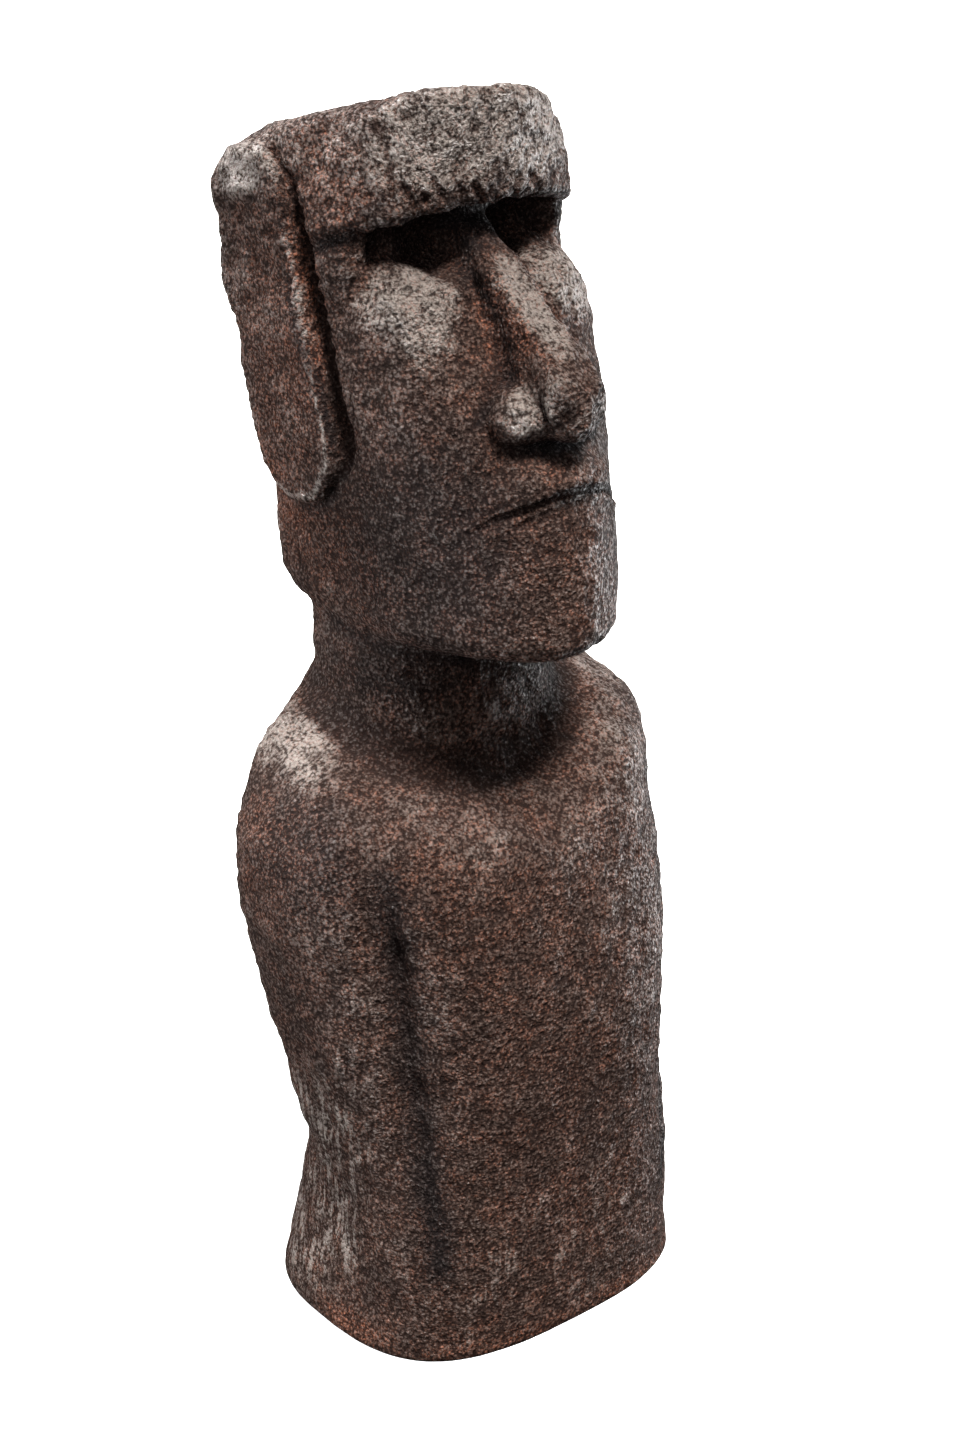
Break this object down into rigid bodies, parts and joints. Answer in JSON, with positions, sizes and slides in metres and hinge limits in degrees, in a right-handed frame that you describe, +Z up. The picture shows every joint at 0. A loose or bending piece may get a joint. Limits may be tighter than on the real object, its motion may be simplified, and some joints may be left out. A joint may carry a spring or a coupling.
{
  "type": "moai statue figure",
  "caption": "Cast garden figure in the manner of an Easter Island statue: long heavy-browed head with flat ears on a torso with arms at the sides, cut flat at the hips.",
  "frame": {"origin": "middle of the flat underside, on the ground", "axes": "+Z up the figure, the face looks along -Y, +X towards the figure's left hand"},
  "size_m": [0.29, 0.2413, 0.7931],
  "materials": {
    "cast_stone": "dark brown cast stone with a rust-red undertone and worn grey on the raised grain, satin"
  },
  "bodies": {
    "root": {"moai_figure": "cast_stone"}
  },
  "joints": []
}
